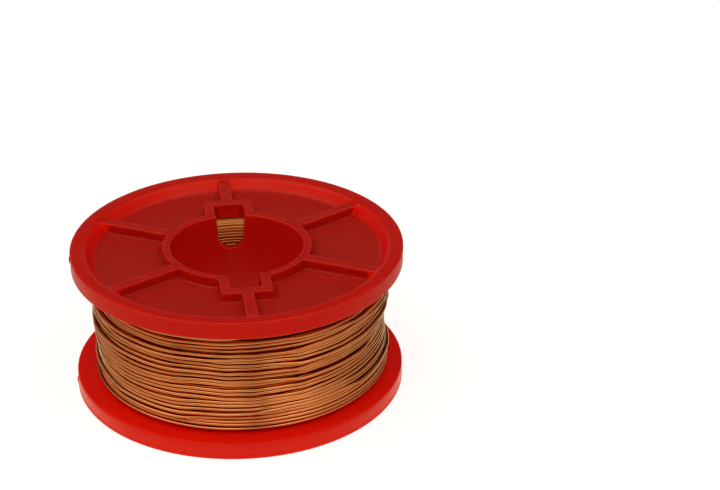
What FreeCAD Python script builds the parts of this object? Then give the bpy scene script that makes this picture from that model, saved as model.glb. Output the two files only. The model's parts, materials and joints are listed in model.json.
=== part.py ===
"""Wire spool: a one-piece moulded reel with two ribbed flanges, wound full of copper wire.

The reel stands on its plain flange. The origin is the centre of the bottom face
and +Z runs up the bore. The top flange has two key pockets, one at +Y and one
at -Y. All sizes are in millimetres.

The reel is one moulding. The wire is one length, kept as two solids: the layers
under the surface, and the outermost layer, whose turns show.
"""

import FreeCAD, Part
import os
from enum import IntEnum

import Sketcher

# Driving sizes: alias, value, meaning. Each is written once, here.
SIZES = [
    ("flange_diameter", 80.0, "outside diameter of both flanges"),
    ("flange_thickness", 4.2, "axial thickness of a flange at its rim"),
    ("winding_width", 27.6, "clear width between the flanges, filled by the wire"),
    ("winding_diameter", 71.2, "outside diameter of the full winding"),
    ("bore_diameter", 32.0, "hole that the reel runs on"),
    ("core_wall", 2.0, "wall of the tube that the wire is wound on"),
    ("hub_sink", 0.5, "how far the hub face lies below the rim face"),
    ("web_thickness", 1.2, "thin plate of a flange between hub and rim"),
    ("rim_width", 3.4, "flat top of the raised rim, measured radially"),
    ("rim_slope", 2.2, "radial run of the rim's sloping inner wall"),
    ("rim_edge", 0.4, "small bevel on the rims' outer edges"),
    ("rib_count", 6, "ribs on each flange"),
    ("rib_width", 2.8, "thickness of a rib"),
    ("key_pocket_width", 7.4, "clear width of a key pocket in the top flange"),
    ("key_pocket_reach", 22.0, "distance from the axis to a key pocket's far wall"),
    ("key_wall", 2.4, "wall of the box round a key pocket"),
    ("key_corner", 1.0, "rounding of the box's and the pocket's upright corners"),
    ("key_slot_width", 6.4, "clear width of the slot in the core wall below a pocket"),
    ("key_slot_drop", 5.5, "how far a slot runs down the core below the flange"),
    ("wire_diameter", 0.8, "bare copper wire"),
    ("turn_pitch", 0.95, "spacing of the turns that show on the outside"),
    ("turns_per_ridge", 2, "neighbouring turns that one ridge of the winding stands for"),
    ("turn_groove", 0.3, "depth of the groove between two ridges"),
]

# Places worked out from the driving sizes, as expressions of the sheet.
FLANGE_RADIUS = "Sizes.flange_diameter / 2"
BORE_RADIUS = "Sizes.bore_diameter / 2"
CORE_RADIUS = "(Sizes.bore_diameter / 2 + Sizes.core_wall)"
RIM_RADIUS = "(Sizes.flange_diameter / 2 - Sizes.rim_width)"
WEB_RADIUS = "(Sizes.flange_diameter / 2 - Sizes.rim_width - Sizes.rim_slope)"
WINDING_RADIUS = "Sizes.winding_diameter / 2"
LAYER_RADIUS = "(Sizes.winding_diameter / 2 - Sizes.wire_diameter)"
GROOVE_RADIUS = "(Sizes.winding_diameter / 2 - Sizes.turn_groove)"
WEB_FACE = "(Sizes.flange_thickness - Sizes.web_thickness)"
WEB_MIDDLE = "(Sizes.flange_thickness - Sizes.web_thickness / 2)"
HEIGHT = "(Sizes.winding_width + 2 * Sizes.flange_thickness)"
UPPER_FLANGE = "(Sizes.winding_width + Sizes.flange_thickness)"
HUB_FACE = f"({HEIGHT} - Sizes.hub_sink)"
POCKET_HALF = "Sizes.key_pocket_width / 2"
BOX_HALF = "(Sizes.key_pocket_width / 2 + Sizes.key_wall)"
BOX_REACH = "(Sizes.key_pocket_reach + Sizes.key_wall)"
SLOT_HALF = "Sizes.key_slot_width / 2"
SLOT_ROUND_CENTRE = f"({UPPER_FLANGE} - Sizes.key_slot_drop + {SLOT_HALF})"

SAME_LENGTH = 1e-6  # two lengths closer than this are one length


class Axis(IntEnum):
    """A sketch's own axes, as constraints name them. H starts at the origin."""

    H = -1
    V = -2


class Point(IntEnum):
    """The points of a sketch line or arc, as constraints name them."""

    START = 1
    END = 2
    CENTRE = 3


def mirrored(expression):
    """The same distance measured down from the top face."""
    return f"({HEIGHT} - {expression})"


def make_sizes(doc):
    """Write the driving sizes into the document's sheet."""
    sheet = doc.addObject("Spreadsheet::Sheet", "Sizes")
    for row, (alias, value, meaning) in enumerate(SIZES, start=1):
        sheet.set(f"A{row}", alias.replace("_", " "))
        sheet.set(f"B{row}", str(value))
        sheet.set(f"C{row}", meaning)
        sheet.setAlias(f"B{row}", alias)
    doc.recompute()
    return sheet


def new_body(doc, label):
    body = doc.addObject("PartDesign::Body", label)
    body.Label = label
    return body


def origin_feature(body, role):
    """One of the body's own origin planes or axes."""
    for feature in body.Origin.OriginFeatures:
        if feature.Role == role:
            return feature
    raise RuntimeError(f"{body.Label} has no {role}")


def new_sketch(body, plane, name):
    sketch = body.newObject("Sketcher::SketchObject", name)
    sketch.AttachmentSupport = (origin_feature(body, plane), [""])
    sketch.MapMode = "FlatFace"
    return sketch


def place_point(sketch, geometry, point, across, up):
    """Hold a point of the sketch at two expressions, measured from its origin."""
    for kind, axis, expression in (("DistanceX", Axis.V, across), ("DistanceY", Axis.H, up)):
        if expression == "0":
            sketch.addConstraint(Sketcher.Constraint("PointOnObject", geometry, point, axis))
            continue
        value = float(sketch.evalExpression(expression))
        held = Sketcher.Constraint(kind, Axis.H, Point.START, geometry, point, value)
        sketch.setExpression(f"Constraints[{sketch.addConstraint(held)}]", expression)


def corner_points(sketch, corners):
    """The points that corners, given as pairs of expressions, come to."""
    return [
        FreeCAD.Vector(sketch.evalExpression(across), sketch.evalExpression(up), 0)
        for across, up in corners
    ]


def join(sketch, geometry, point, other, other_point):
    """Hold a point of one line or arc on a point of another."""
    sketch.addConstraint(Sketcher.Constraint("Coincident", geometry, point, other, other_point))


def draw_outline(sketch, corners):
    """Close straight lines through corners given as pairs of expressions."""
    first = sketch.GeometryCount
    points = corner_points(sketch, corners)
    ends = points[1:] + points[:1]
    sketch.addGeometry([Part.LineSegment(*line) for line in zip(points, ends)], False)
    lines = range(first, sketch.GeometryCount)
    for line, following in zip(lines, [*lines[1:], first]):
        join(sketch, line, Point.END, following, Point.START)
    for line, (across, up) in zip(lines, corners):
        place_point(sketch, line, Point.START, across, up)


def rectangle(across, up):
    """The corners of an upright rectangle between two pairs of expressions."""
    (left, right), (low, high) = across, up
    return [(left, low), (right, low), (right, high), (left, high)]


def revolve(body, name, corners):
    """Turn a closed outline in the XZ plane once round the Z axis."""
    sketch = new_sketch(body, "XZ_Plane", f"{name}Outline")
    draw_outline(sketch, corners)
    feature = body.newObject("PartDesign::Revolution", name)
    feature.Profile = sketch
    feature.ReferenceAxis = (sketch, ["V_Axis"])
    feature.Angle = 360
    return feature


def symmetric(body, kind, name, sketch, length):
    """A Pad or Pocket of the given length, half to each side of its sketch."""
    feature = body.newObject(kind, name)
    feature.Profile = sketch
    feature.SideType = "Symmetric"
    feature.setExpression("Length", length)
    return feature


def add_drum(body):
    """Core, flanges, hub rings and rims: one outline turned round the axis."""
    lower = [
        ("0", "Sizes.hub_sink"),
        (CORE_RADIUS, "Sizes.hub_sink"),
        (CORE_RADIUS, WEB_FACE),
        (WEB_RADIUS, WEB_FACE),
        (RIM_RADIUS, "0"),
        (FLANGE_RADIUS, "0"),
        (FLANGE_RADIUS, "Sizes.flange_thickness"),
        (CORE_RADIUS, "Sizes.flange_thickness"),
    ]
    upper = [(across, HEIGHT if up == "0" else mirrored(up)) for across, up in reversed(lower)]
    return revolve(body, "Drum", lower + upper)


def add_ribs(body):
    """One rib on each flange, repeated round the axis."""
    sketch = new_sketch(body, "YZ_Plane", "RibOutline")
    lower = ("Sizes.hub_sink", WEB_MIDDLE)
    upper = (mirrored(WEB_MIDDLE), HUB_FACE)
    for level in (lower, upper):
        draw_outline(sketch, rectangle((BORE_RADIUS, RIM_RADIUS), level))
    rib = symmetric(body, "PartDesign::Pad", "Rib", sketch, "Sizes.rib_width")
    ribs = body.newObject("PartDesign::PolarPattern", "Ribs")
    ribs.Originals = [rib]
    ribs.Axis = (origin_feature(body, "Z_Axis"), [""])
    ribs.Angle = 360
    ribs.setExpression("Occurrences", "Sizes.rib_count")
    body.Tip = ribs


def edge_names(feature, wanted):
    """The names of a feature's edges that the test wanted accepts."""
    edges = enumerate(feature.Shape.Edges, start=1)
    return [f"Edge{number}" for number, edge in edges if wanted(edge)]


def round_uprights(doc, body, base, name, across, along):
    """Round the upright edges that stand at plus or minus across and along."""
    doc.recompute()
    x, y = (float(base.evalExpression(expression)) for expression in (across, along))

    def wanted(edge):
        low, high = edge.Vertexes[0].Point, edge.Vertexes[-1].Point
        upright = abs(low.x - high.x) + abs(low.y - high.y) < SAME_LENGTH
        return upright and abs(abs(low.x) - x) + abs(abs(low.y) - y) < SAME_LENGTH

    feature = body.newObject("PartDesign::Fillet", name)
    feature.Base = (base, edge_names(base, wanted))
    feature.setExpression("Radius", "Sizes.key_corner")
    return feature


def add_key_boxes(doc, body):
    """A bar across the top flange, whose two ends become the boxes."""
    sketch = new_sketch(body, "XZ_Plane", "KeyBoxOutline")
    level = (mirrored(WEB_MIDDLE), HUB_FACE)
    draw_outline(sketch, rectangle((f"-{BOX_HALF}", BOX_HALF), level))
    bar = symmetric(body, "PartDesign::Pad", "KeyBoxes", sketch, f"2 * {BOX_REACH}")
    return round_uprights(doc, body, bar, "BoxCorners", BOX_HALF, BOX_REACH)


def cut_key_pockets(doc, body):
    """One channel through the flange, whose two ends become the pockets."""
    sketch = new_sketch(body, "XZ_Plane", "KeyPocketOutline")
    draw_outline(sketch, rectangle((f"-{POCKET_HALF}", POCKET_HALF), (UPPER_FLANGE, HUB_FACE)))
    length = "2 * Sizes.key_pocket_reach"
    channel = symmetric(body, "PartDesign::Pocket", "KeyPockets", sketch, length)
    return round_uprights(
        doc, body, channel, "PocketCorners", POCKET_HALF, "Sizes.key_pocket_reach"
    )


def add_core(body):
    """The core again, from hub face to hub face, which parts the two pockets."""
    corners = rectangle(("0", CORE_RADIUS), ("Sizes.hub_sink", HUB_FACE))
    return revolve(body, "Core", corners)


def cut_bore(body):
    sketch = new_sketch(body, "XY_Plane", "BoreOutline")
    radius = float(sketch.evalExpression(BORE_RADIUS))
    circle = Part.Circle(FreeCAD.Vector(0, 0, 0), FreeCAD.Vector(0, 0, 1), radius)
    sketch.addGeometry(circle, False)
    join(sketch, 0, Point.CENTRE, Axis.H, Point.START)
    held = sketch.addConstraint(Sketcher.Constraint("Radius", 0, radius))
    sketch.setExpression(f"Constraints[{held}]", BORE_RADIUS)
    feature = body.newObject("PartDesign::Pocket", "Bore")
    feature.Profile = sketch
    feature.Type = "ThroughAll"
    feature.Reversed = True
    return feature


def cut_key_slots(body):
    """A round-bottomed slot through the core wall on both sides, tapered in the flange."""
    sketch = new_sketch(body, "XZ_Plane", "KeySlotOutline")
    sides = [
        (f"-{SLOT_HALF}", SLOT_ROUND_CENTRE),
        (f"-{SLOT_HALF}", UPPER_FLANGE),
        (f"-{POCKET_HALF}", HUB_FACE),
        (POCKET_HALF, HUB_FACE),
        (SLOT_HALF, UPPER_FLANGE),
        (SLOT_HALF, SLOT_ROUND_CENTRE),
    ]
    points = corner_points(sketch, sides)
    left, right = points[0], points[-1]
    bottom = FreeCAD.Vector(0, left.y - right.x, 0)
    lines = [Part.LineSegment(*line) for line in zip(points, points[1:])]
    *lines, round_end = sketch.addGeometry([*lines, Part.Arc(left, bottom, right)], False)
    for line, following in zip(lines, lines[1:]):
        join(sketch, line, Point.END, following, Point.START)
    join(sketch, lines[0], Point.START, round_end, Point.START)
    join(sketch, lines[-1], Point.END, round_end, Point.END)
    for line, (across, up) in zip(lines, sides):
        place_point(sketch, line, Point.START, across, up)
    place_point(sketch, lines[-1], Point.END, *sides[-1])
    level = Sketcher.Constraint(
        "DistanceY", Axis.H, Point.START, round_end, Point.CENTRE, left.y
    )
    held = sketch.addConstraint(level)
    sketch.setExpression(f"Constraints[{held}]", SLOT_ROUND_CENTRE)
    return symmetric(body, "PartDesign::Pocket", "KeySlots", sketch, f"2 * {CORE_RADIUS}")


def bevel_rims(doc, body, base):
    """Break the four outer edges of the rims."""
    doc.recompute()
    radius = float(base.evalExpression(FLANGE_RADIUS))

    def wanted(edge):
        return isinstance(edge.Curve, Part.Circle) and abs(edge.Curve.Radius - radius) < SAME_LENGTH

    feature = body.newObject("PartDesign::Chamfer", "RimEdges")
    feature.Base = (base, edge_names(base, wanted))
    feature.setExpression("Size", "Sizes.rim_edge")


def make_spool(doc):
    body = new_body(doc, "spool_body")
    add_drum(body)
    add_ribs(body)
    add_key_boxes(doc, body)
    cut_key_pockets(doc, body)
    add_core(body)
    cut_bore(body)
    slots = cut_key_slots(body)
    bevel_rims(doc, body, slots)
    return body


def make_inner_layers(doc):
    """Every layer under the outermost one, as a plain ring that fills the reel."""
    body = new_body(doc, "wire_inner_layers")
    low, high = "Sizes.flange_thickness", UPPER_FLANGE
    corners = [(CORE_RADIUS, low), (LAYER_RADIUS, low), (LAYER_RADIUS, high), (CORE_RADIUS, high)]
    revolve(body, "Layers", corners)
    return body


def make_outer_layer(doc, sheet):
    """The outermost layer: a ring whose ridges each stand for a few turns of the wire."""
    body = new_body(doc, "wire_outer_layer")
    ridges = round(sheet.winding_width / sheet.turn_pitch / sheet.turns_per_ridge)
    corners = [(LAYER_RADIUS, "Sizes.flange_thickness")]
    for step in range(2 * ridges + 1):
        radius = WINDING_RADIUS if step % 2 else GROOVE_RADIUS
        level = f"Sizes.flange_thickness + Sizes.winding_width * {step} / {2 * ridges}"
        corners.append((radius, level))
    corners.append((LAYER_RADIUS, UPPER_FLANGE))
    revolve(body, "Turns", corners)
    return body


def check_document(doc):
    """Stop if a feature failed, or if a cut took nothing away."""
    for item in doc.Objects:
        if "Invalid" in item.State or "Error" in item.State:
            raise RuntimeError(f"{item.Label} failed: {item.State}")
        if item.TypeId == "PartDesign::Pocket":
            before = item.BaseFeature.Shape.Volume
            if item.Shape.Volume >= before:
                raise RuntimeError(f"{item.Label} cuts nothing")


def export(bodies):
    """Check every sub-part, then write each to its own STEP file."""
    for body in bodies:
        shape = body.Shape
        if shape.isNull() or not shape.isValid() or len(shape.Solids) != 1:
            raise RuntimeError(f"{body.Label} is not one valid solid")
    os.makedirs("parts", exist_ok=True)
    for body in bodies:
        body.Shape.exportStep(f"parts/{body.Label}.step")
        print(f"{body.Label}: {body.Shape.Volume:.1f} cubic millimetres")


def main():
    doc = FreeCAD.newDocument("WireSpool")
    sheet = make_sizes(doc)
    bodies = [make_spool(doc), make_inner_layers(doc), make_outer_layer(doc, sheet)]
    doc.recompute()
    check_document(doc)
    export(bodies)


main()
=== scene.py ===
"""Wire spool: the looks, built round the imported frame.

The reel is one mesh, taken from a formula for its shape. The wire is a winding that is
laid turn by turn onto the layers below it, so each turn drops into the grooves it finds.
Lengths are in millimetres here and become metres when a mesh is made.
"""

import json
import math

import bpy
import numpy as np
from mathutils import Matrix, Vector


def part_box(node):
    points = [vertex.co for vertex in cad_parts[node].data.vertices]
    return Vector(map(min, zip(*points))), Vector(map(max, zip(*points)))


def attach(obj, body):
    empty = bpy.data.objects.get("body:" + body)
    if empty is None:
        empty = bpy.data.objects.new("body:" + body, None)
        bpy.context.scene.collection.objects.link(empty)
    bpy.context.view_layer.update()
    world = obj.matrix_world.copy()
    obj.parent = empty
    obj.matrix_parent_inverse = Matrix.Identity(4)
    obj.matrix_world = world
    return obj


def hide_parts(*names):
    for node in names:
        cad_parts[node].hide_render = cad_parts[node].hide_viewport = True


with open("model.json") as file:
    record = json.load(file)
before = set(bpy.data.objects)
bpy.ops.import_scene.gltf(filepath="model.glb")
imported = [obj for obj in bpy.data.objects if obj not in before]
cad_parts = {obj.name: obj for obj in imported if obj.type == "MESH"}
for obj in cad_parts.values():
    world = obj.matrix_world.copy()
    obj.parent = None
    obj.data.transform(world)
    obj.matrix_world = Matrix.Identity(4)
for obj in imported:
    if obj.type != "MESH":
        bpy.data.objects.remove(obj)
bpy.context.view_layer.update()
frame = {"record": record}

MM = 0.001
ROUND = 2 * math.pi
TINY = 1e-12  # keeps a division from failing


def cad_size(node, side):
    """The lowest (side 0) or highest (side 1) corner of a CAD node, in millimetres."""
    return [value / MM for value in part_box(node)[side]]


def mount_size(name, measure):
    """One measure of a mount in the record."""
    for mount in frame["record"]["mounts"]:
        if mount["name"] == name:
            return mount["dims"][measure]
    raise KeyError(name)


# ---------------------------------------------------------------- sizes from the frame
FLANGE_RADIUS, _, HEIGHT = cad_size("spool_body", 1)
WINDING_RADIUS, _, UPPER_FLANGE = cad_size("wire_outer_layer", 1)
FLANGE_THICKNESS = cad_size("wire_outer_layer", 0)[2]
BORE_RADIUS = mount_size("bore", "r_mm")

# ---------------------------------------------------------------- sizes of the moulding
CORE_WALL = 2.0
CORE_RADIUS = BORE_RADIUS + CORE_WALL
HUB_SINK = 0.5
WEB_THICKNESS = 1.2
WEB_DEPTH = FLANGE_THICKNESS - WEB_THICKNESS
RIM_WIDTH = 3.4
RIM_SLOPE = 2.2
RIM_EDGE = 0.35
RIM_INNER_EDGE = 0.6
COVE = 1.0  # fillet between a rim's sloping wall and the web
RIB_COUNT = 6
RIB_HALF = 1.4
HUB_FACE = HEIGHT - HUB_SINK
POCKET_HALF = 3.7
POCKET_REACH = 22.0
KEY_WALL = 2.4
KEY_CORNER = 1.0
SLOT_HALF = 3.2
SLOT_DROP = 5.5
SLOT_ROUND_CENTRE = UPPER_FLANGE - SLOT_DROP + SLOT_HALF
SLOT_PAST_CORE = 0.5  # the slots' cut runs this far into the winding's room
SLOT_WIDEST_AT = 1.2  # where they stop widening, as a share of the way up to the hub face
DRAFT = math.tan(math.radians(2))  # lean of the ribs' sides
TOP_EDGE = 0.35
FOOT = 0.55  # fillet at the ribs' feet
PLAN_JOIN = 0.7  # fillet between ribs, hub ring and key boxes
BORE_EDGE = 0.35
SLOT_EDGE = 0.2
PARTING_DEPTH = 0.95  # how far below the rim's face the mould parts
PARTING_STEP = 0.05
PARTING_GROOVE = 0.07
PARTING_WIDTH = 0.09
NIB_SINK = 0.05  # how far a nib's centre lies inside the rim's side
NIB_DEPTH = 1.5
NIB_RADII = (0.3, 0.3, 1.0)
NIB_FOOT = NIB_RADII[0] / 3


# ---------------------------------------------------------------- shape of the moulding
def round_union(a, b, radius):
    """Joins two distances with a fillet of the given radius."""
    corner = np.hypot(np.maximum(radius - a, 0), np.maximum(radius - b, 0))
    return np.maximum(radius, np.minimum(a, b)) - corner


def round_common(a, b, radius):
    """What two distances share, with its edge rounded."""
    corner = np.hypot(np.maximum(radius + a, 0), np.maximum(radius + b, 0))
    return np.minimum(-radius, np.maximum(a, b)) + corner


def relief_plan(x, y, r, on_top):
    """Hub ring, ribs and key boxes as seen along the axis."""
    sector = ROUND / RIB_COUNT
    turned = np.arctan2(y, x) - math.pi / 2
    folded = np.mod(turned + sector / 2, sector) - sector / 2
    rib = np.abs(r * np.sin(folded)) - RIB_HALF
    plan = round_union(r - CORE_RADIUS, rib, PLAN_JOIN)
    sides = np.abs(x) - POCKET_HALF - KEY_WALL
    box = round_common(sides, np.abs(y) - POCKET_REACH - KEY_WALL, KEY_CORNER)
    return np.where(on_top, round_union(plan, box, PLAN_JOIN), plan)


def key_opening(x, y, z, r):
    """The pockets in the top flange and the slots that open them to the bore."""
    pocket = round_common(np.abs(x) - POCKET_HALF, np.abs(y) - POCKET_REACH, KEY_CORNER)
    pocket = np.maximum(pocket, CORE_RADIUS - r)
    up = np.clip((z - UPPER_FLANGE) / (HUB_FACE - UPPER_FLANGE), 0, SLOT_WIDEST_AT)
    half = SLOT_HALF + (POCKET_HALF - SLOT_HALF) * up
    slot = np.hypot(x, np.minimum(z - SLOT_ROUND_CENTRE, 0)) - half
    slot = np.maximum(slot, r - CORE_RADIUS - SLOT_PAST_CORE)
    return np.minimum(pocket, slot)


def side_radius(depth):
    """Radius of a rim's side: a fine groove and step where the mould parts."""
    past = (depth - PARTING_DEPTH) / PARTING_WIDTH
    stepped = FLANGE_RADIUS - PARTING_STEP * (1 + np.tanh(past)) / 2
    return stepped - PARTING_GROOVE * np.exp(-past * past)


def nib(x, y, z, centre, radii):
    """A small bead of flash, roughly an ellipsoid."""
    places = zip((x, y, z), centre, radii)
    scaled = [(value - middle) / radius for value, middle, radius in places]
    return (np.sqrt(sum(value * value for value in scaled)) - 1) * min(radii)


def spool_distance(points):
    """Signed distance, near enough, to the surface of the moulding: negative inside."""
    x, y, z = points.T
    r = np.hypot(x, y)
    depth = np.minimum(z, HEIGHT - z)
    lean = math.hypot(RIM_SLOPE, WEB_DEPTH)
    wall_radius = FLANGE_RADIUS - RIM_WIDTH - RIM_SLOPE * depth / WEB_DEPTH
    slope = (wall_radius - r) * WEB_DEPTH / lean
    face = round_union(slope, WEB_DEPTH - depth, COVE)
    plan = relief_plan(x, y, r, z > HEIGHT / 2) - DRAFT * (depth - HUB_SINK)
    raised = round_common(plan, HUB_SINK - depth, TOP_EDGE)
    face = round_union(face, raised, FOOT)
    solid = round_common(face, -depth, RIM_INNER_EDGE)
    solid = round_common(solid, r - side_radius(depth), RIM_EDGE)
    solid = round_common(solid, depth - FLANGE_THICKNESS, RIM_EDGE)
    core = np.maximum(r - CORE_RADIUS, HUB_SINK - depth)
    solid = np.minimum(solid, core)
    folded = (np.abs(x), y, depth)
    centre = (FLANGE_RADIUS - NIB_SINK, 0, NIB_DEPTH)
    solid = round_union(solid, nib(*folded, centre, NIB_RADII), NIB_FOOT)
    solid = round_common(solid, BORE_RADIUS - r, BORE_EDGE)
    return round_common(solid, -key_opening(x, y, z, r), SLOT_EDGE)


LEAST_SLOPE = 0.05  # smallest squared slope that a step is divided by
LONGEST_STEP = 0.4
NORMAL_STEP = 0.01  # step over which the moulding's normals are taken


def slopes(distance, points, step=0.002):
    """The distance's gradient, by central differences."""
    columns = []
    for axis in range(3):
        shift = np.zeros(3)
        shift[axis] = step
        columns.append((distance(points + shift) - distance(points - shift)) / (2 * step))
    return np.stack(columns, 1)


def settle(distance, points, rounds):
    """Moves points onto the surface."""
    for _ in range(rounds):
        slope = slopes(distance, points)
        size = np.maximum((slope * slope).sum(1), LEAST_SLOPE)
        step = distance(points)[:, None] * slope / size[:, None]
        length = np.maximum(np.linalg.norm(step, axis=1), TINY)
        points = points - step * np.minimum(1, LONGEST_STEP / length)[:, None]
    return points


def unit(vectors):
    return vectors / np.maximum(np.linalg.norm(vectors, axis=-1, keepdims=True), TINY)


# ---------------------------------------------------------------- mesh from the shape
CORNERS = [(a, b, c) for a in (0, 1) for b in (0, 1) for c in (0, 1)]  # of a grid cell
NET_TURNS = 360
NET_RADII = (  # (radius, spacing up to the next radius)
    (BORE_RADIUS - 0.7, 0.5),
    (CORE_RADIUS + 1.0, 0.8),
    (POCKET_REACH - 0.8, 0.6),
    (POCKET_REACH + KEY_WALL + 1.5, 1.3),
    (FLANGE_RADIUS - RIM_WIDTH - RIM_SLOPE - 1.4, 0.6),
    (FLANGE_RADIUS + 1.2, 0.6),
)
NET_HEIGHTS = (  # (height, spacing up to the next height)
    (-0.85, 0.35),
    (1.3, 0.45),
    (FLANGE_THICKNESS + 0.9, 1.4),
    (HEIGHT - (FLANGE_THICKNESS + 8), 0.45),
    (HEIGHT - 1.3, 0.35),
    (HEIGHT + 0.85, 1),
)
PARTING_CUTS = (-0.2, -0.09, 0, 0.09, 0.2)
LEVEL_REACH = 0.01  # an edge that ends nearer than this to a level isn't cut there
SPOOL_REFINES = ((24, 0.3), (24, 0.2), (22, 0.14), (22, 0.1))  # (bend, shortest edge)
SPOOL_TRIANGLES = 170_000


def spread(stops):
    """Levels between stops given as (value, spacing up to the next value)."""
    levels = []
    for (low, spacing), (high, _) in zip(stops, stops[1:]):
        count = max(1, round((high - low) / spacing))
        levels += [low + (high - low) * step / count for step in range(count)]
    return np.array(levels + [stops[-1][0]])


def at_corner(array, shift):
    """A grid's values at one corner of each cell. The grid closes round the axis."""
    rolled = np.roll(array, -shift[0], axis=0)
    radial, upward = (np.s_[step: size - 1 + step] for step, size in zip(shift[1:], array.shape[1:]))
    return rolled[:, radial, upward]


def crossed_cells(inside):
    """The cells that the surface passes through, and a grid of their numbers."""
    count = sum(at_corner(inside, shift).astype(int) for shift in CORNERS)
    mixed = (count > 0) & (count < len(CORNERS))
    cells = np.argwhere(mixed)
    number = np.full(mixed.shape, -1)
    number[mixed] = np.arange(len(cells))
    return cells, number


def cell_points(grid, values, cells):
    """For each cell the mean of the places where the surface crosses its edges."""
    total = np.zeros((len(cells), 3))
    weight = np.zeros(len(cells))
    starts = [(corner, axis) for corner in CORNERS for axis in range(3) if not corner[axis]]
    for first, axis in starts:
        second = tuple(1 if index == axis else value for index, value in enumerate(first))
        ends = [cells + shift for shift in (first, second)]
        for end in ends:
            end[:, 0] %= len(grid)
        a, b = (values[tuple(end.T)] for end in ends)
        p, q = (grid[tuple(end.T)] for end in ends)
        crossed = (a < 0) != (b < 0)
        share = np.where(crossed, a / np.where(crossed, a - b, 1), 0)
        total += crossed[:, None] * (p + share[:, None] * (q - p))
        weight += crossed
    return total / weight[:, None]


def net_quads(inside, number):
    """A quad round each edge of the grid that crosses the surface."""
    quads = []
    for axis in range(3):
        stop = [np.s_[:]] * 3
        if axis:
            stop[axis] = np.s_[:-1]
        stop = tuple(stop)
        following = np.roll(inside, -1, axis=axis)[stop]
        crossed = np.argwhere(inside[stop] != following)
        across = [index for index in range(3) if index != axis]
        ring = []
        for shift in ((0, 0), (1, 0), (1, 1), (0, 1)):
            cell = crossed.copy()
            cell[:, across] -= shift
            cell[:, 0] %= len(inside)
            ring.append(number[tuple(cell.T)])
        quads.append(np.stack(ring, 1))
    return np.concatenate(quads)


def surface_net(distance, radii, heights, turns):
    """Points and quads of the surface on a grid round the axis: a point in each crossed cell."""
    angles = np.arange(turns) * ROUND / turns
    angle, radius, height = np.meshgrid(angles, radii, heights, indexing="ij")
    grid = np.stack([radius * np.cos(angle), radius * np.sin(angle), height], -1)
    values = distance(grid.reshape(-1, 3)).reshape(angle.shape)
    cells, number = crossed_cells(values < 0)
    points = cell_points(grid, values, cells)
    return settle(distance, points, rounds=6), net_quads(values < 0, number)


def triangulate(distance, points, quads):
    """Splits each quad where its corners' normals agree best, facing outwards."""
    normals = unit(slopes(distance, points))
    middle = unit(normals[quads].sum(1))
    corners = [points[column] for column in quads.T]
    facing = np.cross(corners[2] - corners[0], corners[3] - corners[1])
    flip = (facing * middle).sum(1) < 0
    quads = np.where(flip[:, None], quads[:, ::-1], quads)
    a, b, c, d = quads.T
    first = (normals[a] * normals[c]).sum(1)
    second = (normals[b] * normals[d]).sum(1)
    along = first >= second
    one = np.where(along[:, None], np.stack([a, b, c], 1), np.stack([a, b, d], 1))
    two = np.where(along[:, None], np.stack([a, c, d], 1), np.stack([b, c, d], 1))
    return np.concatenate([one, two])


def edges_of(triangles):
    """The triangles' edges, each once, and which edge each side of a triangle is."""
    sides = np.stack([triangles, np.roll(triangles, -1, axis=1)], 2).reshape(-1, 2)
    edges, which = np.unique(np.sort(sides, axis=1), axis=0, return_inverse=True)
    return edges, which.reshape(-1, 3)


def split_edges(points, triangles, edges, which, marked, places):
    """Puts each marked edge's new point in, and divides the triangles that share it."""
    number = np.full(len(edges), -1)
    number[marked] = len(points) + np.arange(marked.sum())
    points = np.concatenate([points, places])
    new = number[which]
    split = new >= 0
    kept = [triangles[~split.any(1)]]
    for turn in range(3):
        a, b, c = np.roll(triangles, -turn, axis=1).T
        m, n, o = np.roll(new, -turn, axis=1).T
        hit = np.roll(split, -turn, axis=1)
        once = hit[:, 0] & ~hit[:, 1] & ~hit[:, 2]
        kept += [np.stack(tri, 1)[once] for tri in ((a, m, c), (m, b, c))]
        twice = hit[:, 0] & hit[:, 1] & ~hit[:, 2]
        kept.append(np.stack((m, b, n), 1)[twice])
        safe_m, safe_n = np.where(twice, m, a), np.where(twice, n, a)
        one, other = points[a] - points[safe_n], points[c] - points[safe_m]
        shorter = np.linalg.norm(one, axis=1) < np.linalg.norm(other, axis=1)
        kept += [np.stack(tri, 1)[twice & shorter] for tri in ((a, m, n), (a, n, c))]
        kept += [np.stack(tri, 1)[twice & ~shorter] for tri in ((a, m, c), (m, n, c))]
        if turn == 0:
            thrice = hit.all(1)
            corners = ((a, m, o), (m, b, n), (o, n, c), (m, n, o))
            kept += [np.stack(tri, 1)[thrice] for tri in corners]
    return points, np.concatenate(kept)


def refine(distance, points, triangles, bend, shortest):
    """Halves each edge whose ends face ways that differ by more than bend, in degrees."""
    edges, which = edges_of(triangles)
    normals = unit(slopes(distance, points))
    start, end = points[edges[:, 0]], points[edges[:, 1]]
    agree = (normals[edges[:, 0]] * normals[edges[:, 1]]).sum(1)
    long = np.linalg.norm(end - start, axis=1) > shortest
    marked = (agree < math.cos(math.radians(bend))) & long
    places = settle(distance, (start + end)[marked] / 2, rounds=4)
    return split_edges(points, triangles, edges, which, marked, places)


def cut_level(points, triangles, level, least_radius):
    """Cuts the triangles outside a radius along a level plane."""
    edges, which = edges_of(triangles)
    start, end = points[edges[:, 0]], points[edges[:, 1]]
    above = start[:, 2] - level
    below = end[:, 2] - level
    outside = np.minimum(np.hypot(*start.T[:2]), np.hypot(*end.T[:2])) > least_radius
    clear = np.minimum(np.abs(above), np.abs(below)) > LEVEL_REACH
    marked = (above * below < 0) & clear & outside
    share = above[marked] / (above[marked] - below[marked])
    places = start[marked] + share[:, None] * (end - start)[marked]
    return split_edges(points, triangles, edges, which, marked, places)


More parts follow.
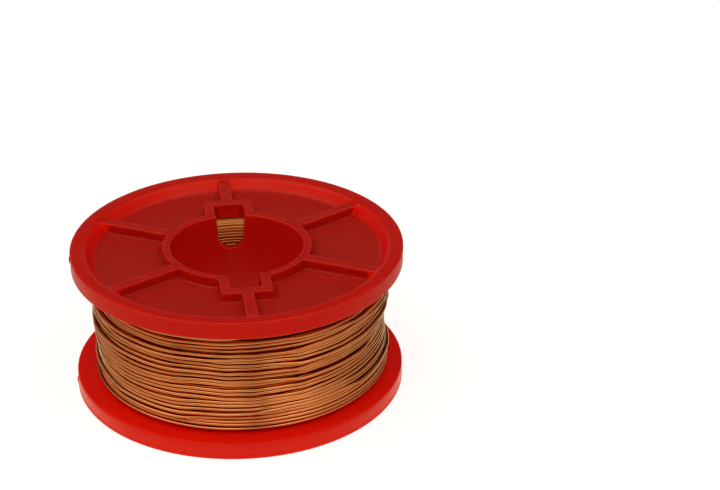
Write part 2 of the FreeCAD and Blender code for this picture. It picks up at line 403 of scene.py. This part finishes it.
def mesh_object(name, points, faces, normals=None):
    """A Blender object from points in millimetres."""
    mesh = bpy.data.meshes.new(name)
    mesh.vertices.add(len(points))
    mesh.vertices.foreach_set("co", (points * MM).astype(np.float32).ravel())
    size = faces.shape[1]
    mesh.loops.add(faces.size)
    mesh.loops.foreach_set("vertex_index", faces.astype(np.int32).ravel())
    mesh.polygons.add(len(faces))
    mesh.polygons.foreach_set("loop_start", np.arange(0, faces.size, size, dtype=np.int32))
    mesh.update(calc_edges=True)
    mesh.validate()
    mesh.polygons.foreach_set("use_smooth", np.full(len(mesh.polygons), True))
    if normals is not None:
        mesh.normals_split_custom_set_from_vertices(normals.tolist())
    piece = bpy.data.objects.new(name, mesh)
    bpy.context.scene.collection.objects.link(piece)
    return piece


def simplified(name, points, triangles, share):
    """Merges triangles where the surface is flat, keeping the given share of them."""
    draft = mesh_object(name, points, triangles)
    thin = draft.modifiers.new("fewer_faces", "DECIMATE")
    thin.ratio = share
    graph = bpy.context.evaluated_depsgraph_get()
    mesh = bpy.data.meshes.new_from_object(draft.evaluated_get(graph))
    mesh.calc_loop_triangles()
    points = np.empty(len(mesh.vertices) * 3)
    mesh.vertices.foreach_get("co", points)
    triangles = np.empty(len(mesh.loop_triangles) * 3, dtype=np.int32)
    mesh.loop_triangles.foreach_get("vertices", triangles)
    bpy.data.objects.remove(draft)
    bpy.data.meshes.remove(mesh)
    return points.reshape(-1, 3) / MM, triangles.reshape(-1, 3)


def make_spool():
    """The reel's moulding, with finer triangles at its edges and fillets."""
    points, quads = surface_net(spool_distance, spread(NET_RADII), spread(NET_HEIGHTS), NET_TURNS)
    triangles = triangulate(spool_distance, points, quads)
    for offset in PARTING_CUTS:
        for level in (PARTING_DEPTH + offset, HEIGHT - PARTING_DEPTH - offset):
            points, triangles = cut_level(points, triangles, level, FLANGE_RADIUS - RIM_EDGE)
    points = settle(spool_distance, points, rounds=2)
    for bend, shortest in SPOOL_REFINES:
        points, triangles = refine(spool_distance, points, triangles, bend, shortest)
    share = SPOOL_TRIANGLES / len(triangles)
    points, triangles = simplified("spool_draft", points, triangles, share)
    points = settle(spool_distance, points, rounds=3)
    normals = unit(slopes(spool_distance, points, NORMAL_STEP))
    piece = mesh_object("reel_moulding", points, triangles, normals)
    mark_spool(piece, points, normals)
    return piece


WEB_BAND = 0.12  # half depth of the band in which a face counts as a web
WEB_LEVEL = 0.9  # how level it has to be
BEND_REACH = 0.12
BEND_SHARPEST = 4  # the bend that counts as 1
CORE_SKIN = 0.1  # how far inside the core's outer face a point still counts as on it
BORE_SKIN = 0.5
STEEP_BORE = 0.26  # how much of the lighter red, a painted glow, a steep face takes, by where it is
STEEP_RELIEF = 0.1
STEEP_RIM = 1.0
STEEP_SIDE = 0.45


def edge_bend(points):
    """How sharply the moulding bends at each point, from 0 to 1, at outward edges."""
    around = 0
    for axis in range(3):
        shift = np.zeros(3)
        shift[axis] = BEND_REACH
        around = around + spool_distance(points + shift) + spool_distance(points - shift)
    return np.clip(around / (BEND_REACH * BEND_REACH) / BEND_SHARPEST, 0, 1)


def mark_spool(piece, points, normals):
    """Values that the plastic's material reads: where the webs are, how sharp each edge is, and where
    it paints a lighter red as painted glow (inner faces, rim, steep faces).
    """
    x, y, z = points.T
    r = np.hypot(x, y)
    depth = np.minimum(z, HEIGHT - z)
    level = np.abs(normals[:, 2]) > WEB_LEVEL
    web = np.exp(-((depth - WEB_DEPTH) / WEB_BAND) ** 2) * level
    # inner faces get a lighter red: painted glow
    inner = ((depth > WEB_DEPTH + WEB_THICKNESS / 2) & (r > CORE_RADIUS - CORE_SKIN)).astype(float)
    inner *= r < FLANGE_RADIUS - RIM_EDGE / 2
    # the rim gets a lighter red: painted glow
    rim = np.clip((r - FLANGE_RADIUS + RIM_WIDTH + RIM_SLOPE) / RIM_SLOPE, 0, 1)
    share = np.where(r < CORE_RADIUS - BORE_SKIN, STEEP_BORE, STEEP_RELIEF)
    share = np.where(rim > 0, STEEP_RIM, share)
    share = np.where(r > FLANGE_RADIUS - RIM_EDGE, STEEP_SIDE, share)
    # steep faces get a lighter red by this share: painted glow
    steep = (1 - normals[:, 2] ** 2) * share
    marks = {"web": web, "inner": inner, "rim": rim, "steep": steep, "bend": edge_bend(points)}
    for name, values in marks.items():
        attribute = piece.data.attributes.new(name, "FLOAT", "POINT")
        attribute.data.foreach_set("value", values.astype(np.float32))


# ---------------------------------------------------------------- the winding
WIRE = 0.8
TURNS = 29
STATIONS = 180  # points to a turn
WIRE_SIDES = 8
LAYERS = 5
SHOWN_LAYERS = 3
LAY_SEED = 419
FLANGE_GAP = 0.03
LOW_TURN = FLANGE_THICKNESS + WIRE / 2 + FLANGE_GAP
HIGH_TURN = UPPER_FLANGE - WIRE / 2 - FLANGE_GAP
GAP_NOISE = ((0.8, 0.12), (0.8, 0.28), (0.4, 0.7))  # (size, length in turns)
GAP_SWING = 2.4  # how much the gaps follow that noise
GAP_SHIFT = 0.4  # a larger one closes more of them
GAP_WIDEST = 0.7
GAP_ROUNDS = 12
END_QUICKNESS = 4  # the gaps open fully within a quarter turn of the layer's ends
CLIMB = 0.42  # how far a turn climbs onto the one before it
CLIMB_BELOW = -0.7  # the noise under which it does
CLIMB_EASE = 0.5
BESIDE = 0.7 * WIRE
PULL_ROUNDS = 30
PULL_SAG = 0.3
LAY_RADIUS = 31.8  # of what the first laid layer lies on
FULLER = 0.4
OVAL = 0.08
WAIST = 0.42
WAIST_WAVES = 1.4  # waves of the waist's profile between the flanges
WAIST_MIDDLE = 0.49
WAIST_TILT = 0.05


def smooth_noise(draws, count, every):
    """Smooth random values for count stations, a fresh one at each 'every' stations."""
    knots = draws.normal(size=int(count / every) + 4)
    place = np.arange(count) / every
    first = place.astype(int)
    share = place - first
    ease = share * share * (3 - 2 * share)
    return knots[first] * (1 - ease) + knots[first + 1] * ease


def turn_heights(draws, climb):
    """Heights of a layer's turns, bottom to top, one row to a turn.

    Each turn lies against the one before it or stands off by a gap that opens and closes
    along the wire. Here and there it climbs onto the one before by the length climb. The
    gaps over any one place share the room that the flanges leave.
    """
    count = (TURNS - 1) * STATIONS
    wander = sum(part * smooth_noise(draws, count, every * STATIONS) for part, every in GAP_NOISE)
    ends = np.minimum(np.arange(count), np.arange(count)[::-1]) / STATIONS
    gaps = np.log1p(np.exp(GAP_SWING * wander - GAP_SHIFT)) * np.minimum(1, ends * END_QUICKNESS)
    climbs = np.clip((CLIMB_BELOW - wander) / CLIMB_EASE, 0, 1) * (ends > 1)
    climbs = (climbs * climbs * (3 - 2 * climbs)).reshape(TURNS - 1, STATIONS)
    for turn in range(1, TURNS - 1):
        climbs[turn] *= 1 - climbs[turn - 1]
    climbs *= climb
    gaps = gaps.reshape(TURNS - 1, STATIONS)
    room = HIGH_TURN - LOW_TURN - WIRE * TURNS + climbs.sum(0)
    for _ in range(GAP_ROUNDS):
        gaps = np.minimum(gaps * room / gaps.sum(0), GAP_WIDEST)
    first = LOW_TURN + WIRE * np.arange(STATIONS) / STATIONS
    return np.concatenate([first[None], first + np.cumsum(WIRE + gaps - climbs, 0)])


def rest_on(heights, laid_heights, laid_radii, near):
    """The radius at which a turn at these heights rests on laid turns nearer than near."""
    gap = heights[None, :] - laid_heights
    rise = np.sqrt(np.maximum(WIRE * WIRE - gap * gap, 0))
    return np.where(np.abs(gap) < near, laid_radii + rise, 0).max(0, initial=0)


def pull_tight(radii, reach, start):
    """Lets a turn bridge the hollows between the places where it rests."""
    sag = reach.mean() * (ROUND / STATIONS) ** 2 / 2
    for _ in range(PULL_ROUNDS):
        left = np.concatenate([[start], radii[:-1]])
        right = np.concatenate([radii[1:], [radii[-1]]])
        radii = np.maximum(reach, (left + right) / 2 - PULL_SAG * sag)
    return radii


def under_surface(heights):
    """Radius of what the shown layers are wound on: fuller on one side, with a waist there."""
    turned = np.arange(STATIONS) * ROUND / STATIONS
    side = np.cos(turned)
    share = (heights - LOW_TURN) / (HIGH_TURN - LOW_TURN)
    waist = side * np.cos(ROUND * WAIST_WAVES * (share - WAIST_MIDDLE + WAIST_TILT * side))
    return LAY_RADIUS + FULLER * side - OVAL * np.cos(2 * turned) - WAIST * waist


def lay_winding():
    """Lays the outer layers turn by turn. Returns each layer's heights and radii."""
    draws = np.random.default_rng(LAY_SEED)
    below = (np.zeros((0, STATIONS)), np.zeros((0, STATIONS)))
    layers = []
    for layer in range(LAYERS):
        heights = turn_heights(draws, CLIMB if layer == LAYERS - 1 else 0)
        if layer % 2:
            heights = heights[::-1, ::-1]
        radii = np.zeros((0, STATIONS))
        start = None
        for row in heights:
            reach = np.maximum(under_surface(row), rest_on(row, *below, WIRE))
            beside = rest_on(row, heights[: len(radii)], radii, BESIDE)
            reach = np.maximum(reach, beside)
            line = pull_tight(reach, reach, reach[0] if start is None else start)
            start = line[-1]
            radii = np.concatenate([radii, line[None]])
        below = (heights, radii)
        layers.append((heights.ravel(), radii.ravel()))
    shift = WINDING_RADIUS - WIRE / 2 - layers[-1][1].mean()
    return [(height, radius + shift) for height, radius in layers]


def tube(points, radius, sides):
    """A closed tube along points, with an even number of sides: its vertices and quads."""
    along = unit(np.gradient(points, axis=0))
    outward = unit(points * [1, 1, 0])
    outward = unit(outward - (outward * along).sum(1, keepdims=True) * along)
    across = np.cross(along, outward)
    angles = (np.arange(sides) * ROUND / sides)[None, :, None]
    ring = np.cos(angles) * outward[:, None] + np.sin(angles) * across[:, None]
    vertices = points[:, None] + radius * ring
    count = len(points)
    number = np.arange(count * sides).reshape(count, sides)
    following = np.roll(number, -1, axis=1)
    quads = np.stack([number[:-1], following[:-1], following[1:], number[1:]], -1).reshape(-1, 4)
    caps = []
    for loop in (number[0][::-1], number[-1]):
        caps += [[loop[0], *loop[step: step + 3]] for step in range(1, sides - 1, 2)]
    return vertices.reshape(-1, 3), np.concatenate([quads, caps])


def make_coil(name, heights, radii, stations, start=0.0):
    """A wire along a helix of these heights and radii, from a start angle."""
    angles = start + np.arange(len(heights)) * ROUND / stations
    points = np.stack([radii * np.cos(angles), radii * np.sin(angles), heights], 1)
    return mesh_object(name, *tube(points, WIRE / 2, WIRE_SIDES))


def make_outer_turns():
    """The outermost layer and the two under it, each one continuous helix."""
    layers = lay_winding()[-SHOWN_LAYERS:]
    names = ("wire_turns_third_layer", "wire_turns_second_layer", "wire_turns_outer_layer")
    return [make_coil(name, *layer, STATIONS) for name, layer in zip(names, layers)]


INNER_SEED = 5
INNER_PITCH = 0.81
INNER_TURNS = 9
INNER_STATIONS = 120
INNER_DROP = 0.2  # from the highest place that a turn can have
INNER_CLEAR = 0.05
END_TURNS = 6
END_GAP = 0.06
END_DROP = 0.1
END_CLEAR = 0.12
END_START = 1.0  # in radians
PACK_GAP = 0.15
PACK_RIDGE = 0.22
PACK_DEPTH = 3.3  # below the winding's outside, in wires
PACK_DROP = 1.4  # below the upper flange, in wires
PACK_LIFT = 0.3


def stray(draws, count, size, turns):
    """How far a hidden turn strays along its length, afresh at each so many turns."""
    return size * smooth_noise(draws, count, INNER_STATIONS * turns)


def make_innermost_turns(draws):
    """The top turns of the layer on the core, which show through the slots in its wall."""
    count = INNER_TURNS * INNER_STATIONS
    fall = np.arange(count) / INNER_STATIONS * INNER_PITCH
    heights = HIGH_TURN - INNER_DROP - fall + stray(draws, count, 0.05, 0.4)
    radii = CORE_RADIUS + WIRE / 2 + INNER_CLEAR + np.abs(stray(draws, count, 0.04, 0.3))
    return make_coil("wire_turns_innermost_layer", heights, radii, INNER_STATIONS)


def make_end_turns(draws):
    """The top turn of each layer round it, which shows through the pockets."""
    count = END_TURNS * INNER_STATIONS
    grow = np.arange(count) / INNER_STATIONS * (WIRE + END_GAP)
    radii = CORE_RADIUS + 1.5 * WIRE + END_CLEAR + grow + stray(draws, count, 0.1, 0.3)
    heights = np.minimum(HIGH_TURN - END_DROP + stray(draws, count, 0.1, 0.35), HIGH_TURN)
    return make_coil("wire_turns_top_end", heights, radii, INNER_STATIONS, END_START)


def make_inner_turns():
    """The hidden turns that the openings in the top flange and the core lay bare."""
    draws = np.random.default_rng(INNER_SEED)
    return [make_innermost_turns(draws), make_end_turns(draws)]


def lathe(name, outline, stations):
    """A closed outline of (radius, height) turned once round the axis."""
    radius, height = np.array(outline).T
    angles = (np.arange(stations) * ROUND / stations)[:, None]
    level = np.broadcast_to(height, (stations, len(outline)))
    points = np.stack([radius * np.cos(angles), radius * np.sin(angles), level], -1)
    number = np.arange(stations * len(outline)).reshape(stations, len(outline))
    beside = np.roll(number, -1, axis=0)
    quads = np.stack([number, beside, np.roll(beside, -1, axis=1), np.roll(number, -1, axis=1)], -1)
    return mesh_object(name, points.reshape(-1, 3), quads.reshape(-1, 4))


def make_pack():
    """Every layer that can't be seen, as one ring with a ridge for each turn."""
    inner = CORE_RADIUS + WIRE + PACK_GAP
    outer = WINDING_RADIUS - PACK_DEPTH * WIRE
    low = FLANGE_THICKNESS + PACK_LIFT
    high = UPPER_FLANGE - PACK_DROP * WIRE
    steps = 2 * TURNS
    levels = [low + (high - low) * step / steps for step in range(steps + 1)]
    outside = [(outer + PACK_RIDGE * (step % 2), level) for step, level in enumerate(levels)]
    inside = [(inner - PACK_RIDGE * (step % 2) / 2, level) for step, level in enumerate(levels)]
    return lathe("wire_pack", outside + inside[::-1], INNER_STATIONS)


# ---------------------------------------------------------------- materials
def new_material(name):
    material = bpy.data.materials.new(name)
    material.use_nodes = True
    return material, material.node_tree.nodes["Principled BSDF"]


def node(material, kind, inputs=None, **settings):
    """A node with its settings, and its inputs set to values or linked to sockets."""
    made = material.node_tree.nodes.new(kind)
    for name, value in settings.items():
        setattr(made, name, value)
    for name, value in (inputs or {}).items():
        feed(material, made.inputs[name], value)
    return made


def feed(material, socket, value):
    if isinstance(value, bpy.types.NodeSocket):
        material.node_tree.links.new(value, socket)
    else:
        socket.default_value = value


def noise(material, scale, detail=3.0, roughness=0.5, stretch=(1, 1, 1)):
    """A noise value from 0 to 1; scale is in features per metre."""
    place = node(material, "ShaderNodeTexCoord").outputs["Object"]
    mapped = node(material, "ShaderNodeMapping", {"Vector": place, "Scale": stretch})
    inputs = {"Vector": mapped.outputs[0], "Scale": scale, "Detail": detail, "Roughness": roughness}
    return node(material, "ShaderNodeTexNoise", inputs).outputs["Fac"]


def ramp(material, value, stops):
    """A colour or grey that follows a value. Stops are (place, colour or grey)."""
    made = node(material, "ShaderNodeValToRGB", {"Fac": value})
    elements = made.color_ramp.elements
    while len(elements) < len(stops):
        elements.new(0.5)
    for element, (place, colour) in zip(elements, stops):
        element.position = place
        element.color = (*colour, 1) if isinstance(colour, tuple) else (colour, colour, colour, 1)
    return made.outputs["Color"]


def mix(material, share, first, second):
    """Mixes two colours; each is a socket or three numbers."""
    made = node(material, "ShaderNodeMix", data_type="RGBA")
    for socket, value in ((made.inputs[0], share), (made.inputs[6], first), (made.inputs[7], second)):
        feed(material, socket, (*value, 1) if isinstance(value, tuple) else value)
    return made.outputs[2]


def arithmetic(material, operation, first, second):
    made = node(material, "ShaderNodeMath", operation=operation)
    feed(material, made.inputs[0], first)
    feed(material, made.inputs[1], second)
    return made.outputs[0]


def attribute(material, name):
    return node(material, "ShaderNodeAttribute", attribute_name=name).outputs["Fac"]


RED_CLOUD = ((0.42, 0.005, 0.003), (0.472, 0.007, 0.004))
# lighter reds painted on as glow, as if light came through the plastic: on the rim, on steep faces and
# on inner faces
RED_PAINTED_GLOW = (
    ("rim", (0.55, 0.006, 0.003)),
    ("steep", (0.92, 0.005, 0.002)),
    ("inner", (0.83, 0.005, 0.001)),
)
WEB_PATTERNS = (  # a haze of painted sheen, pits and dust: noise, how much of the colour it brings, colour
    # painted sheen: a slightly less saturated red in patches on the webs
    ((220, 4, 0.6), ((0.3, 0.45), (0.75, 1.0)), (0.448, 0.011, 0.007)),
    ((1500, 2, 0.7), ((0.38, 0.0), (0.62, 0.55)), (0.345, 0.010, 0.007)),
    ((900, 1, 0.4), ((0.755, 0.0), (0.79, 0.36)), (0.75, 0.30, 0.24)),
)
# painted highlight: a lighter, pinker red along sharp outward edges
RED_EDGE_HIGHLIGHT = (0.85, 0.05, 0.03)
EDGE_HIGHLIGHT_SHARE = 0.2


def plastic_colour(material, web):
    """Red with painted light: lighter on steep faces, the rim and the inner faces as painted glow, a
    painted highlight along edges, and on the webs a haze of painted sheen with pits and dust.
    """
    colour = mix(material, noise(material, 60, 3), *RED_CLOUD)
    for name, shade in RED_PAINTED_GLOW:
        colour = mix(material, attribute(material, name), colour, shade)
    for pattern, stops, shade in WEB_PATTERNS:
        share = arithmetic(material, "MULTIPLY", ramp(material, noise(material, *pattern), stops), web)
        colour = mix(material, share, colour, shade)
    # painted highlight along sharp outward edges, by how sharply the moulding bends
    edge_highlight_and_rough_patches = arithmetic(material, "MULTIPLY", attribute(material, "bend"), EDGE_HIGHLIGHT_SHARE)
    return mix(material, edge_highlight_and_rough_patches, colour, RED_EDGE_HIGHLIGHT)


def red_plastic():
    """Moulded red plastic that lets some light through: satin, with grained webs."""
    material, shader = new_material("red_plastic")
    web = attribute(material, "web")
    feed(material, shader.inputs["Base Color"], plastic_colour(material, web))
    rough = ramp(material, noise(material, 90, 4, 0.6), ((0.3, 0.24), (0.7, 0.34)))
    feed(material, shader.inputs["Roughness"], mix(material, web, rough, (0.5, 0.5, 0.5)))
    grain = arithmetic(material, "MULTIPLY", noise(material, 3800, 2, 0.6), web)
    ripple = arithmetic(material, "MULTIPLY", noise(material, 700, 2), 0.25)
    height = arithmetic(material, "ADD", grain, ripple)
    bump = node(material, "ShaderNodeBump", {"Strength": 0.35, "Distance": 0.0001, "Height": height})
    feed(material, shader.inputs["Normal"], bump.outputs[0])
    shader.inputs["Specular IOR Level"].default_value = 0.2
    shader.inputs["Specular Tint"].default_value = (1.0, 0.86, 0.62, 1)
    shader.inputs["Subsurface Weight"].default_value = 0.4
    shader.inputs["Subsurface Radius"].default_value = (0.0035, 0.0003, 0.0002)
    shader.inputs["Subsurface Scale"].default_value = 1.0
    return material


COPPER_STAIN = (0.35, 0.10, 0.03)
COPPER_ROUGH = (0.09, 0.17)


def copper(name, light, dark, dull=0.0):
    """Bare drawn copper, with a tone that changes from strand to strand and along each."""
    material, shader = new_material(name)
    strand = noise(material, 30, 3, 0.6, (1, 1, 22))
    stain = ramp(material, noise(material, 160, 4, 0.6, (1, 1, 3)), ((0.55, 0.0), (0.8, 0.5)))
    colour = mix(material, stain, mix(material, strand, dark, light), COPPER_STAIN)
    feed(material, shader.inputs["Base Color"], colour)
    smooth, rough = (value + dull for value in COPPER_ROUGH)
    # here only the roughness changes, in patches
    edge_highlight_and_rough_patches = ramp(material, noise(material, 240, 3, 0.6), ((0.3, smooth), (0.7, rough)))
    feed(material, shader.inputs["Roughness"], edge_highlight_and_rough_patches)
    lines = noise(material, 1500, 2, 0.5, (0.08, 0.08, 1))
    bump = node(material, "ShaderNodeBump", {"Strength": 0.12, "Distance": 0.00005, "Height": lines})
    feed(material, shader.inputs["Normal"], bump.outputs[0])
    shader.inputs["Metallic"].default_value = 1.0
    return material


TABLE_GREY = (0.3, 0.3, 0.3, 1)
TABLE_SEEN = 0.84  # glow that the camera sees, where the rest of the scene gets TABLE_GLOW
TABLE_GLOW = ((0.08, 0.9), (0.2, 0.30), (0.5, 0.20), (1.0, 0.04))  # (share of reach, glow)
TABLE_REACH = 0.5
TABLE_TINT = (1.0, 0.80, 0.56)


def floor_white():
    """White paper that glows, most of all under the reel."""
    material, shader = new_material("studio_floor")
    shader.inputs["Base Color"].default_value = TABLE_GREY
    shader.inputs["Roughness"].default_value = 0.9
    shader.inputs["Specular IOR Level"].default_value = 0.0
    place = node(material, "ShaderNodeTexCoord").outputs["Object"]
    away = node(material, "ShaderNodeVectorMath", {0: place}, operation="LENGTH").outputs["Value"]
    glow = ramp(material, arithmetic(material, "DIVIDE", away, TABLE_REACH), TABLE_GLOW)
    seen = node(material, "ShaderNodeLightPath").outputs["Is Camera Ray"]
    strength = node(material, "ShaderNodeMix", {0: seen, 2: glow, 3: TABLE_SEEN}).outputs[0]
    feed(material, shader.inputs["Emission Strength"], strength)
    feed(material, shader.inputs["Emission Color"], mix(material, seen, TABLE_TINT, (1.0, 1.0, 1.0)))
    return material


def dress(piece, material):
    piece.data.materials.clear()
    piece.data.materials.append(material)


# ---------------------------------------------------------------- studio
CAMERA_PLACE = (-0.0378, -0.4326, 0.2565)
CAMERA_DOWN = math.radians(27.05)
CAMERA_HEADING = math.radians(-8.9)
CAMERA_LENS = 101.1
CAMERA_SENSOR = 36
WARM = (1.0, 0.90, 0.74)
AMBER = (1.0, 0.72, 0.44)
WHITE = (1.0, 0.98, 0.95)
SKY_TOP = 0.86
SKY_CAP = (0.86, 0.96)  # rise, as a sine, over which the sky becomes its top
SKY_FRONT = 2.0
SKY_UP = ((0.0, 0.2), (0.3, 0.23), (0.6, 0.37), (0.78, 1.15))  # (rise, strength)
AMBER_UP = ((0.0, 1.0), (0.45, 0.8), (0.72, 0.0))
SKY_ROUND = (  # (degrees from the front, strength)
    (-179, 0.03),
    (-152, 0.05),
    (-130, 0.62),
    (-100, 0.92),
    (-78, 1.1),
    (-55, 0.7),
    (-27, 1.0),
    (-8, 0.75),
    (5, 0.3),
    (18, 0.7),
    (45, 1.15),
    (66, 0.62),
    (95, 0.5),
    (125, 0.2),
    (150, 0.04),
    (179, 0.03),
)
WALL_GLOW = 0.25
WALL_UP = ((0.0, 1.0), (0.36, 1.0), (0.46, 0.0))
WALL_ROUND = ((-179, 1.0), (-158, 0.8), (-140, 0.0), (140, 0.0), (158, 0.8), (179, 1.0))
TABLE_SIZE = 8


def make_camera():
    data = bpy.data.cameras.new("camera")
    data.lens = CAMERA_LENS
    data.sensor_width = CAMERA_SENSOR
    data.clip_start = 0.01
    camera = bpy.data.objects.new("camera", data)
    camera.location = CAMERA_PLACE
    camera.rotation_euler = (math.pi / 2 - CAMERA_DOWN, 0, CAMERA_HEADING)
    bpy.context.scene.collection.objects.link(camera)
    bpy.context.scene.camera = camera


def by_heading(world, turned, stops):
    """A strength that follows the heading, from stops of (degrees from the front, strength)."""
    return ramp(world, turned, [(0.5 + angle / 360, strength) for angle, strength in stops])


def product(world, *factors):
    """All the factors multiplied."""
    result = factors[0]
    for factor in factors[1:]:
        result = arithmetic(world, "MULTIPLY", result, factor)
    return result


def make_sky(world):
    """A soft tent of light: a pale top, broad panels in front with a dim strip between
    them, and behind the reel a dim space over a low pale wall."""
    world.use_nodes = True
    background = world.node_tree.nodes["Background"]
    direction = node(world, "ShaderNodeTexCoord").outputs["Generated"]
    parts = node(world, "ShaderNodeSeparateXYZ", {0: direction}).outputs
    rise = parts["Z"]
    toward = arithmetic(world, "MULTIPLY", parts["Y"], -1.0)
    heading = arithmetic(world, "ARCTAN2", parts["X"], toward)
    full_turn = {"Value": heading, "From Min": -math.pi, "From Max": math.pi}
    turned = node(world, "ShaderNodeMapRange", full_turn).outputs[0]
    around = by_heading(world, turned, SKY_ROUND)
    tent = product(world, around, ramp(world, rise, SKY_UP), SKY_FRONT)
    wall = product(world, by_heading(world, turned, WALL_ROUND), ramp(world, rise, WALL_UP), WALL_GLOW)
    sides = arithmetic(world, "ADD", tent, wall)
    cap = {"Value": rise, "From Min": SKY_CAP[0], "From Max": SKY_CAP[1]}
    above = node(world, "ShaderNodeMapRange", cap).outputs[0]
    strength = node(world, "ShaderNodeMix", {0: above, 2: sides, 3: SKY_TOP}).outputs[0]
    amber = product(world, around, ramp(world, rise, AMBER_UP))
    tint = mix(world, amber, WARM, AMBER)
    feed(world, background.inputs["Color"], mix(world, above, tint, WHITE))
    feed(world, background.inputs["Strength"], strength)


def make_studio():
    scene = bpy.context.scene
    scene.view_settings.view_transform = "Standard"
    scene.world = bpy.data.worlds.new("studio")
    make_sky(scene.world)
    bpy.ops.mesh.primitive_plane_add(size=TABLE_SIZE)
    floor = bpy.context.object
    floor.name = "studio_floor"
    dress(floor, floor_white())


# ---------------------------------------------------------------- put together
make_camera()
make_studio()

reel = make_spool()
dress(reel, red_plastic())
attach(reel, "root")
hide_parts("spool_body")

# the darker copies are painted shade: dim on the layers under the outside one and on the pack, shaded,
# also rougher, on the turns seen through the openings
bright = copper("copper_outside", (0.91, 0.44, 0.19), (0.57, 0.18, 0.044))
dim = copper("copper_inside_painted_shade", (0.74, 0.20, 0.04), (0.54, 0.10, 0.015))
shaded = copper("copper_innermost_painted_shade", (0.70, 0.28, 0.085), (0.46, 0.13, 0.03), 0.23)
third, second, outer = make_outer_turns()
inner_pieces = make_inner_turns()
pack = make_pack()
dress(outer, bright)
for piece in inner_pieces:
    dress(piece, shaded)
for piece in (third, second, pack):
    dress(piece, dim)
for piece in (third, second, outer, *inner_pieces, pack):
    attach(piece, "root")
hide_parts("wire_outer_layer")
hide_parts("wire_inner_layers")
